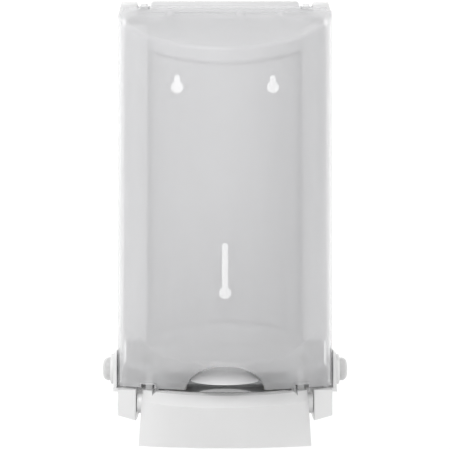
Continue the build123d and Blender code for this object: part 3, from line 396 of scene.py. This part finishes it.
def cover_plastic(name, colour, haze, crease):
    """Frosted plastic, denser along the crease, lip, fold and side walls' rear edges, with painted
    highlights on the crease, fold and chin corners and painted shade on the side walls.
    """
    finish = Finish(name)
    x, y, z = finish.axes(finish.place)
    depth = 0 - y
    aside = x.size()
    cloud, frost = finish.frosted()
    low, high = COVER_BOX
    half_w, front = high[0], -low[1]
    bulge = front - SIDE_DEPTH
    radius = (half_w ** 2 + bulge ** 2) / (2 * bulge)
    from_centre = y + (front - radius)
    inside_front = radius - (x * x + from_centre * from_centre).root()
    below_roof = ROOF_EDGE - ROOF_SLOPE * (-SIDE_DEPTH - y) - z
    edge = below_roof.greatest(inside_front - 1.0 * MM)
    forward = finish.ramp(depth, SIDE_DEPTH, SIDE_DEPTH + 6 * MM)
    # painted highlight along the crease where the roof meets the front, also made denser
    band = (1 - finish.ramp(edge, 0.8 * crease, crease)) * forward
    glow = (1 - finish.ramp(edge, crease, 4 * crease)) * forward
    rim = 1 - finish.ramp(z - low[2], LIP_HEIGHT - 0.3 * MM, LIP_HEIGHT + 0.5 * MM)
    reach = (aside - CREASE_FLAT) * (math.pi / (half_w - CREASE_FLAT))
    swell = (1 - reach.greatest(0.0).least(math.pi).cosine()) * 0.5
    valley = z - (CREASE_FRONT + (CREASE_SIDE - CREASE_FRONT) * swell)
    ahead = finish.ramp(depth, SIDE_DEPTH + 4 * MM, SIDE_DEPTH + 12 * MM)
    chin = 1 - finish.ramp(valley, -0.6 * MM, 0.6 * MM)
    # painted highlight along the fold where the chin begins
    fold = (1 - finish.ramp(valley.size(), 0.5 * MM, 1.6 * MM)) * ahead
    # painted light: the chin's outer corners are painted lighter
    corner = chin * finish.ramp(aside, CORNER_FROM, CORNER_TO)
    # painted shade: the side walls are painted darker
    wall = finish.ramp(aside, half_w - 3.2 * MM, half_w - 2.2 * MM)
    # painted shadow along the side walls' rear edges, which are also made denser
    rear = (1 - finish.ramp(depth, REAR_FROM, REAR_TO)) * finish.ramp(
        aside, half_w - 4 * MM, half_w - 3 * MM)
    dense = BAND_DENSITY * band + GLOW_DENSITY * glow + RIM_DENSITY * rim
    dense = dense + CORNER_DENSITY * corner + FOLD_DENSITY * fold + REAR_DENSITY * rear
    bright = finish.blend(cloud, shade(colour, 0.975), shade(colour, 1.02))
    # painted highlight: the crease band, the fold and the chin's corners are painted a lighter white
    highlighted = finish.blend(band.greatest(0.8 * corner).greatest(fold), bright, shade(colour, 1.25))
    # painted shade on the side walls
    wall_shaded = finish.blend(wall, highlighted, shade(colour, 0.86))
    return finish.surface(
        # painted shadow on the side walls' rear edges
        Base_Color=finish.blend(rear, wall_shaded, shade(colour, 0.40)),
        Roughness=0.22 + 0.08 * cloud + 0.06 * frost + 0.45 * wall,
        Alpha=(haze - 0.02 + 0.04 * cloud + dense).least(MOST_DENSE),
        IOR=PLASTIC_IOR)


def plate_plastic(name, colour):
    """The wall plate's white, with painted shade inside its sunk panel and deeper painted shade along the
    panel's step.
    """
    finish = Finish(name)
    x, y, z = finish.axes(finish.place)
    flow, spark, polish = finish.moulded()
    share = x * x * (1 / PANEL_HALF_W ** 2)
    top = PANEL_TOP_MID + (PANEL_TOP_CORNER - PANEL_TOP_MID) * share
    foot = PANEL_FOOT_MID + (PANEL_FOOT_CORNER - PANEL_FOOT_MID) * share
    beyond = (x.size() - PANEL_HALF_W).greatest(z - top).greatest(foot - z)
    # painted shade over the sunk panel
    panel = 1 - finish.ramp(beyond, -0.4 * MM, 0.2 * MM)
    near_wall = 1 - finish.ramp(0 - y, 5 * MM, 7 * MM)
    # painted shade in the panel's step, near the wall
    step = (1 - finish.ramp(beyond.size(), 0.8 * MM, 2.6 * MM)) * near_wall
    white = finish.blend(flow, shade(colour, 0.975), shade(colour, 1.01))
    panel_shaded = finish.blend(0.9 * panel, white, shade(colour, 0.86))
    return finish.surface(
        Base_Color=finish.blend(0.8 * step, panel_shaded, shade(colour, 0.62)),
        Roughness=0.36 + 0.08 * polish + 0.05 * spark,
        IOR=PLASTIC_IOR)


def tray_plastic(name, colour):
    """The tray's grey, a painted shade, with a paler painted highlight along its raised rim."""
    finish = Finish(name)
    x, y, z = finish.axes(finish.place)
    flow = finish.noise(40 * MM, 3)
    spark = finish.noise(0.7 * MM, 3)
    finish.relief(spark, 0.05 * MM, 0.35)
    under_rim = TRAY_RIM_Z + TRAY_RIM_SLOPE * (-TRAY_RIM_DEPTH - y) - z
    # painted highlight: a paler line along the raised rim
    rim = (1 - finish.ramp(under_rim, 2.4 * MM, 3.4 * MM)) * finish.ramp(0 - y, 20 * MM, 30 * MM)
    grey = finish.blend(flow, shade(colour, 0.96), shade(colour, 1.02))
    return finish.surface(
        Base_Color=finish.blend(rim, grey, RIM_HIGHLIGHT),
        Roughness=0.44 + 0.10 * spark,
        IOR=PLASTIC_IOR)


def ground_steel(name, colour, roughness, stretch=(1, 1, 1)):
    """Bright steel with fine grinding marks."""
    finish = Finish(name)
    marks = finish.noise(0.6 * MM, 3, stretch)
    finish.relief(marks, 0.02 * MM, 0.4)
    return finish.surface(
        Base_Color=finish.blend(marks, shade(colour, 0.85), shade(colour, 1.05)),
        Roughness=roughness + 0.12 * marks, Metallic=1.0)


def black_rubber(name):
    """Dull black rubber with fine pores."""
    finish = Finish(name)
    pores = finish.noise(0.5 * MM, 3)
    finish.relief(pores, 0.06 * MM, 0.5)
    return finish.surface(
        Base_Color=finish.blend(pores, (0.012, 0.012, 0.012, 1), (0.03, 0.03, 0.03, 1)),
        Roughness=0.7 + 0.15 * pores)


def finish_for(slot):
    """A slot's finish, or one of the three that only this script names, made once and kept."""
    known = bpy.data.materials.get(slot)
    if known:
        return known
    scene = bpy.context.scene
    body, cover = scene.dispenser_body, scene.dispenser_cover
    makers = {
        "white_body": lambda: satin_plastic(slot, body.colour),
        "plate_white": lambda: plate_plastic(slot, body.colour),
        # painted light: the shroud is a lighter copy of the body's white, to look lit
        "shroud_lit_white": lambda: satin_plastic(slot, shade(body.colour, 1.12)[:3], 0.5),
        "frosted_cover": lambda: cover_plastic(slot, cover.tint, cover.haze, cover.crease),
        "frosted_button": lambda: frosted_plastic(slot, cover.tint, BUTTON_HAZE),
        "tray_plastic": lambda: tray_plastic(slot, body.inner),
        "collar_plastic": lambda: satin_plastic(slot, (0.70, 0.70, 0.71), 0.45),
        "bush_plastic": lambda: satin_plastic(slot, (0.80, 0.79, 0.74), 0.35),
        "polished_steel": lambda: ground_steel(slot, (0.62, 0.62, 0.62), 0.18, (0.2, 1, 1)),
        "spring_steel": lambda: ground_steel(slot, (0.45, 0.45, 0.46), 0.3),
        "zinc_screws": lambda: ground_steel(slot, (0.66, 0.66, 0.64), 0.28),
        "bumper_rubber": lambda: black_rubber(slot),
    }
    return makers[slot]()


# ---- mesh helpers ------------------------------------------------------------
def linked(name, data):
    """A new object in the scene."""
    made = bpy.data.objects.new(name, data)
    bpy.context.scene.collection.objects.link(made)
    return made


def welded(node):
    """A copy of a frame node's mesh whose triangles share their corners, with no material."""
    mesh = frame["nodes"][node].data.copy()
    form = bmesh.new()
    form.from_mesh(mesh)
    bmesh.ops.remove_doubles(form, verts=form.verts, dist=WELD_GAP)
    bmesh.ops.dissolve_degenerate(form, edges=form.edges, dist=WELD_GAP)
    form.to_mesh(mesh)
    form.free()
    mesh.materials.clear()
    return mesh


def stands_for(piece, node):
    """Puts a finished piece in a frame node's body and hides the node, so the piece stands in its place."""
    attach(piece, BODY_OF[node])
    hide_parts(node)


def refined(node, edge, segments=3, slot=None, crest=None):
    """Adds a welded copy of a frame node with its sharp edges rounded, which stands for it.

    An edge width of 0 rounds nothing, and slot names a finish other than the node's own.
    crest is the width of a larger rounding, and a test for the edges that have it.
    """
    mesh = welded(node)
    form = bmesh.new()
    form.from_mesh(mesh)
    if edge:
        bmesh.ops.dissolve_limit(
            form, angle_limit=math.radians(FLAT_ANGLE), verts=form.verts, edges=form.edges)
    weight = form.edges.layers.float.new("bevel_weight_edge")
    widest = crest[0] if crest else edge
    for line in form.edges:
        if len(line.link_faces) == 2 and line.calc_face_angle(0.0) > math.radians(EDGE_SHARP):
            on_crest = crest and crest[1](line)
            line[weight] = 1.0 if on_crest or not crest else edge / widest
    form.to_mesh(mesh)
    form.free()
    mesh.materials.append(finish_for(slot or SLOT_OF[node]))
    piece = linked(f"{node}_finished", mesh)
    if edge:
        bevel = piece.modifiers.new("edges", "BEVEL")
        bevel.width = widest
        bevel.segments = segments
        bevel.limit_method = "WEIGHT"
        bevel.use_clamp_overlap = True
        bevel.harden_normals = False
    settle(piece)
    smooth(piece, EDGE_SHARP)
    stands_for(piece, node)


def settle(piece):
    """Turns what a piece's modifiers make into its plain mesh."""
    graph = bpy.context.evaluated_depsgraph_get()
    mesh = bpy.data.meshes.new_from_object(piece.evaluated_get(graph))
    piece.modifiers.clear()
    piece.data = mesh


def smooth(piece, sharp):
    """Shades a mesh smooth, apart from edges sharper than an angle in degrees."""
    mesh = piece.data
    mesh.polygons.foreach_set("use_smooth", [True] * len(mesh.polygons))
    mesh.set_sharp_from_angle(angle=math.radians(sharp))


# ---- pieces that repeat or follow a rule ---------------------------------------
class Growth(Nodes):
    """A Geometry Nodes tree with named inputs, run once to make a plain mesh."""

    def __init__(self, name, **inputs):
        self.tree = bpy.data.node_groups.new(name, "GeometryNodeTree")
        self.tree.interface.new_socket("Geometry", in_out="OUTPUT", socket_type="NodeSocketGeometry")
        self.values = {}
        for key, value in inputs.items():
            kind = "NodeSocketInt" if isinstance(value, int) else "NodeSocketFloat"
            item = self.tree.interface.new_socket(key.capitalize(), in_out="INPUT", socket_type=kind)
            self.values[item.identifier] = value
        entry = self.node("NodeGroupInput")
        self.inputs = {key: Value(self, entry.outputs[key.capitalize()]) for key in inputs}

    def vector(self, x=0.0, y=0.0, z=0.0):
        return self.node("ShaderNodeCombineXYZ", None, {0: x, 1: y, 2: z}).outputs[0]

    def tube(self, curve, radius, around=12):
        """A closed tube along a curve."""
        profile = self.node("GeometryNodeCurvePrimitiveCircle", None, {
            "Resolution": around, "Radius": radius})
        made = self.node("GeometryNodeCurveToMesh", None, {
            "Curve": curve, "Profile Curve": profile.outputs[0], "Fill Caps": True})
        return made.outputs[0]

    def moved(self, geometry, place, turn=(0, 0, 0)):
        made = self.node("GeometryNodeTransform", None, {
            "Geometry": geometry, "Translation": place, "Rotation": turn})
        return made.outputs[0]

    def make(self, name, geometry, slot):
        """Ends the tree and turns what it grows into a plain mesh."""
        whole = self.node("GeometryNodeRealizeInstances", None, {0: geometry})
        painted = self.node("GeometryNodeSetMaterial", None, {
            "Geometry": whole.outputs[0], "Material": finish_for(slot)})
        self.node("NodeGroupOutput", None, {0: painted.outputs[0]})
        piece = linked(name, bpy.data.meshes.new(name))
        modifier = piece.modifiers.new("growth", "NODES")
        modifier.node_group = self.tree
        for identifier, value in self.values.items():
            modifier[identifier] = value
        settle(piece)
        outward(piece)
        return piece


def outward(piece):
    """Turns a closed mesh's faces outwards."""
    form = bmesh.new()
    form.from_mesh(piece.data)
    bmesh.ops.remove_doubles(form, verts=form.verts, dist=0.001 * MM)
    bmesh.ops.recalc_face_normals(form, faces=form.faces)
    form.to_mesh(piece.data)
    form.free()


def spring(node, turns, wire, upright):
    """A compression spring with closed ends that fills its frame node's box."""
    low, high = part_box(node)
    along = 2 if upright else 0
    across = 0 if upright else 1
    growth = Growth(
        node, radius=(high[across] - low[across]) / 2 - wire, wire=wire,
        height=high[along] - low[along] - 2 * wire, turns=turns, closing=0.7)
    given = growth.inputs
    line = growth.node("GeometryNodeCurveSpiral", None, {
        "Resolution": TURN_POINTS, "Rotations": given["turns"], "Start Radius": given["radius"],
        "End Radius": given["radius"], "Height": given["height"]})
    share = Value(growth, growth.node("GeometryNodeSplineParameter").outputs["Factor"])
    lift = given["closing"] * given["height"] * (share * math.tau).sine() * (-1 / math.tau)
    closed = growth.node("GeometryNodeSetPosition", None, {
        "Geometry": line.outputs[0], "Offset": growth.vector(z=lift)})
    middle = [(a + b) / 2 for a, b in zip(low, high)]
    middle[along] = low[along] + wire
    turn = (0, 0, 0) if upright else (0, math.pi / 2, 0)
    grown = growth.moved(growth.tube(closed.outputs[0], given["wire"]), middle, turn)
    piece = growth.make(f"{node}_wound", grown, SLOT_OF[node])
    smooth(piece, WIRE_SHARP)
    stands_for(piece, node)
    return piece


def screws(node, radius, rows, columns, turn):
    """Adds cross-headed pan screws on a grid of rows and columns, one for each solid of the node."""
    low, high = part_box(node)
    along = 2 if columns == 1 else 1
    length = high[along] - low[along]
    spans = [high[axis] - low[axis] - 2 * radius for axis in range(3) if axis != along]
    growth = Growth(
        node, radius=radius, shank=1.5 * MM, thick=2.0 * MM, length=length, recess=1.0 * MM,
        arm=0.45 * MM, across=spans[0], up=spans[1] if columns > 1 else 0.0, rows=rows, columns=columns)
    given = growth.inputs
    disc = growth.node("GeometryNodeMeshCylinder", {"fill_type": "TRIANGLE_FAN"}, {
        "Vertices": 48, "Side Segments": 2, "Fill Segments": 16,
        "Radius": given["radius"], "Depth": given["thick"]})
    x, y, z = growth.axes(growth.node("GeometryNodeInputPosition").outputs[0])
    out = (x * x + y * y).root()
    top = z.over(0.2 * MM)
    fall = out * out * -SCREW_DOME
    narrow = x.size().least(y.size())
    beside = growth.ramp(narrow, given["arm"] - CROSS_SOFT, given["arm"] + CROSS_SOFT)
    cross = (1 - beside) * (1 - growth.ramp(out, CROSS_REACH, CROSS_END))
    head = growth.node("GeometryNodeSetPosition", None, {
        "Geometry": disc.outputs[0], "Offset": growth.vector(z=top * (fall - cross * given["recess"]))})
    stem = growth.node("GeometryNodeMeshCylinder", {"fill_type": "NGON"}, {
        "Vertices": 32, "Radius": given["shank"], "Depth": given["length"] - given["thick"]})
    parts = growth.node("GeometryNodeJoinGeometry")
    seat = growth.vector(z=given["length"] * 0.5 - given["thick"] * 0.5)
    sunk = growth.vector(z=given["thick"] * -0.5)
    growth.tree.links.new(growth.moved(head.outputs[0], seat), parts.inputs[0])
    growth.tree.links.new(growth.moved(stem.outputs[0], sunk), parts.inputs[0])
    grid = growth.node("GeometryNodeMeshGrid", None, {
        "Size X": given["across"], "Size Y": given["up"], "Vertices X": given["rows"],
        "Vertices Y": given["columns"]})
    spread = growth.node("GeometryNodeInstanceOnPoints", None, {
        "Points": grid.outputs[0], "Instance": parts.outputs[0]})
    middle = [(a + b) / 2 for a, b in zip(low, high)]
    grown = growth.moved(spread.outputs[0], middle, turn)
    piece = growth.make(f"{node}_driven", grown, SLOT_OF[node])
    smooth(piece, SCREW_SHARP)
    stands_for(piece, node)


def lever_ribs(count, radius):
    """Adds fine grip ribs that follow the front curve of the lever's top."""
    bulge = LEVER_TOP_FRONT - LEVER_TOP_SIDE
    curve = (LEVER_TOP_HALF_W ** 2 + bulge ** 2) / (2 * bulge)
    reach = math.radians(RIB_REACH)
    growth = Growth("lever_ribs", radius=radius, curve=curve, pitch=RIB_PITCH, count=count)
    given = growth.inputs
    arc = growth.node("GeometryNodeCurveArc", {"mode": "RADIUS"}, {
        "Resolution": 64, "Radius": 1.0, "Start Angle": -math.pi / 2 - reach, "Sweep Angle": 2 * reach})
    points = growth.node("GeometryNodePoints", None, {"Count": given["count"]})
    index = Value(growth, growth.node("GeometryNodeInputIndex").outputs[0])
    size = given["curve"] - given["pitch"] * (index + 1)
    spread = growth.node("GeometryNodeInstanceOnPoints", None, {
        "Points": points.outputs[0], "Instance": arc.outputs[0], "Scale": growth.vector(size, size, size)})
    lines = growth.node("GeometryNodeRealizeInstances", None, {0: spread.outputs[0]})
    tube = growth.tube(lines.outputs[0], given["radius"], 10)
    place = (0, curve - LEVER_TOP_FRONT, LEVER_TOP_Z)
    piece = growth.make("lever_ribs", growth.moved(tube, place), "white_body")
    smooth(piece, WIRE_SHARP)
    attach(piece, BODY_OF["push_lever"])


# ---- operators ---------------------------------------------------------------
class Maker(bpy.types.Operator):
    """Base of the dispenser's operators."""

    bl_options = {"REGISTER", "UNDO"}

    def execute(self, context):
        self.make(context.scene)
        return {"FINISHED"}


class DISPENSER_OT_cover(Maker):
    """Builds the frosted swing-up cover"""

    bl_idname = "dispenser.cover"
    bl_label = "Cover"

    def make(self, scene):
        refined("cover", 0)


class DISPENSER_OT_back_plate(Maker):
    """Builds the wall plate with its keyholes and rails"""

    bl_idname = "dispenser.back_plate"
    bl_label = "Back plate"

    def make(self, scene):
        refined("back_plate", scene.dispenser_body.edge, slot="plate_white")


class DISPENSER_OT_base(Maker):
    """Builds the base housing with its ears and cheeks"""

    bl_idname = "dispenser.base"
    bl_label = "Base housing"

    def make(self, scene):
        refined("base_housing", scene.dispenser_body.edge)


class DISPENSER_OT_tray(Maker):
    """Builds the refill tray, its collar and the nozzle shroud"""

    bl_idname = "dispenser.tray"
    bl_label = "Tray and shroud"

    def make(self, scene):
        for node in ("refill_tray", "neck_collar", "pump_yoke"):
            refined(node, INNER_EDGE, 2)
        refined("nozzle_shroud", INNER_EDGE, 2, slot="shroud_lit_white")


class DISPENSER_OT_lever(Maker):
    """Builds the push lever"""

    bl_idname = "dispenser.lever"
    bl_label = "Push lever"

    def make(self, scene):
        settings = scene.dispenser_lever

        def outer_crest(line):
            ends = [corner.co for corner in line.verts]
            return all(abs(end.z - LEVER_CREST_Z) < 0.1 * MM and -end.y > LEVER_TOP_SIDE for end in ends)

        refined("push_lever", settings.edge, 5, crest=(settings.crest, outer_crest))
        lever_ribs(settings.ribs, settings.rib)


class DISPENSER_OT_buttons(Maker):
    """Builds the release buttons and their bezels"""

    bl_idname = "dispenser.buttons"
    bl_label = "Buttons"

    def make(self, scene):
        for side in SIDES:
            refined(f"button_{side}", FINE_EDGE, 2, slot="frosted_button")
            refined(f"button_bezel_{side}", BEZEL_EDGE, 2)
            refined(f"button_retainer_{side}", RETAINER_EDGE, 2)


class DISPENSER_OT_hinge(Maker):
    """Builds the hinge brackets"""

    bl_idname = "dispenser.hinge"
    bl_label = "Hinge brackets"

    def make(self, scene):
        for side in SIDES:
            refined(f"hinge_bracket_{side}", scene.dispenser_body.edge)


class DISPENSER_OT_metalwork(Maker):
    """Finishes the pins, rods, bushes, springs, clips, screws and bumpers"""

    bl_idname = "dispenser.metalwork"
    bl_label = "Metalwork"

    def make(self, scene):
        for name in ("hinge_pin", "lever_pin", "drive_pin", "guide_rod", "lever_bush", "yoke_bush"):
            for side in SIDES:
                refined(f"{name}_{side}", FINE_EDGE, 2)
        for node in ("rod_clips", "stop_bumpers"):
            refined(node, CLIP_EDGE, 2)
        metal = scene.dispenser_metal
        screws("housing_screws", metal.screw, rows=2, columns=2, turn=(math.pi / 2, 0, 0))
        screws("shroud_screws", metal.screw, rows=2, columns=1, turn=(0, 0, 0))
        for side in SIDES:
            spring(f"button_spring_{side}", metal.button_turns, metal.button_wire, upright=False)
            coil = spring(f"yoke_spring_{side}", metal.yoke_turns, metal.yoke_wire, upright=True)
            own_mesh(coil)


class DISPENSER_OT_stage(Maker):
    """Sets up the floor, the lights and the camera"""

    bl_idname = "dispenser.stage"
    bl_label = "Stage"

    def make(self, scene):
        settings = scene.dispenser_stage
        self.floor()
        self.lights(scene, settings)
        self.camera(scene, settings)
        scene.view_settings.view_transform = "Standard"

    def floor(self):
        """A pale floor that curves up into a backdrop behind the dispenser."""
        ground = CAD_BOX[0][2] - FLOOR_DROP
        bend_start = BACKDROP_AT - BACKDROP_CURVE
        line = [(FLOOR_FRONT, ground), (bend_start, ground)]
        for step in range(1, BACKDROP_STEPS + 1):
            turn = math.pi / 2 * step / BACKDROP_STEPS
            line.append((
                bend_start + BACKDROP_CURVE * math.sin(turn),
                ground + BACKDROP_CURVE - BACKDROP_CURVE * math.cos(turn)))
        line.append((BACKDROP_AT, BACKDROP_TOP))
        points = [(x, y, z) for y, z in line for x in (-FLOOR_HALF_W, FLOOR_HALF_W)]
        faces = [(2 * i, 2 * i + 1, 2 * i + 3, 2 * i + 2) for i in range(len(line) - 1)]
        mesh = bpy.data.meshes.new("floor")
        mesh.from_pydata(points, [], faces)
        mesh.polygons.foreach_set("use_smooth", [True] * len(mesh.polygons))
        floor = linked("floor", mesh)
        finish = Finish("pale_floor")
        grain = finish.noise(40 * MM, 3)
        finish.surface(
            Base_Color=finish.blend(grain, (0.93, 0.93, 0.93, 1), (0.95, 0.95, 0.95, 1)), Roughness=0.9)
        mesh.materials.append(finish.material)

    def lights(self, scene, settings):
        """A large key light, a shadowless fill, two lights on the backdrop and an even surround."""
        world = bpy.data.worlds.new("surround")
        world.use_nodes = True
        sky = world.node_tree.nodes["Background"]
        sky.inputs["Color"].default_value = (1, 1, 1, 1)
        sky.inputs["Strength"].default_value = settings.sky
        scene.world = world
        self.area("key", place=(-0.45, -1.3, 1.45), aim=(0, 0, 0), size=1.3, power=settings.key)
        self.area(
            "fill", place=(0.2, -1.9, 0.35), aim=(0, 0, 0), size=1.4, power=settings.fill, shadow=False)
        for name, x in (("wash_left", -1.1), ("wash_right", 1.1)):
            self.area(
                name, place=(x, 0.3, 0.1), aim=(x * 0.6, 1.3, 0.1), size=1.1, power=settings.wash)

    def area(self, name, place, aim, size, power, shadow=True):
        """A square light at a place, turned towards another."""
        lamp = bpy.data.lights.new(name, "AREA")
        lamp.use_shadow = shadow
        lamp.shape = "SQUARE"
        lamp.size = size
        lamp.energy = power
        holder = linked(name, lamp)
        holder.location = place
        holder.rotation_euler = (Vector(aim) - Vector(place)).to_track_quat("-Z", "Y").to_euler()

    def camera(self, scene, settings):
        """A level camera straight in front of the dispenser."""
        data = bpy.data.cameras.new("camera")
        data.lens = settings.lens
        data.sensor_width = SENSOR_WIDTH
        holder = linked("camera", data)
        holder.location = (0, -settings.distance, 0)
        holder.rotation_euler = (math.pi / 2, 0, 0)
        scene.camera = holder


OPERATORS = (
    DISPENSER_OT_stage, DISPENSER_OT_cover, DISPENSER_OT_back_plate, DISPENSER_OT_base,
    DISPENSER_OT_tray, DISPENSER_OT_lever, DISPENSER_OT_buttons, DISPENSER_OT_hinge,
    DISPENSER_OT_metalwork,
)


class DISPENSER_PT_panel(bpy.types.Panel):
    """Lists the dispenser's pieces and settings"""

    bl_idname = "DISPENSER_PT_panel"
    bl_label = "Wall soap dispenser"
    bl_space_type = "VIEW_3D"
    bl_region_type = "UI"
    bl_category = "Dispenser"

    def draw(self, context):
        for operator in OPERATORS:
            self.layout.operator(operator.bl_idname)
        for name in SETTINGS:
            group = getattr(context.scene, f"dispenser_{name}")
            box = self.layout.box()
            for key in group.__annotations__:
                box.prop(group, key)


def register():
    for made in (*SETTINGS.values(), *OPERATORS, DISPENSER_PT_panel):
        bpy.utils.register_class(made)
    for name, group in SETTINGS.items():
        setattr(bpy.types.Scene, f"dispenser_{name}", PointerProperty(type=group))


def unregister():
    for name in SETTINGS:
        delattr(bpy.types.Scene, f"dispenser_{name}")
    for made in reversed((*SETTINGS.values(), *OPERATORS, DISPENSER_PT_panel)):
        bpy.utils.unregister_class(made)


def main():
    register()
    for operator in OPERATORS:
        group, name = operator.bl_idname.split(".")
        getattr(getattr(bpy.ops, group), name)()


if __name__ == "__main__":
    main()
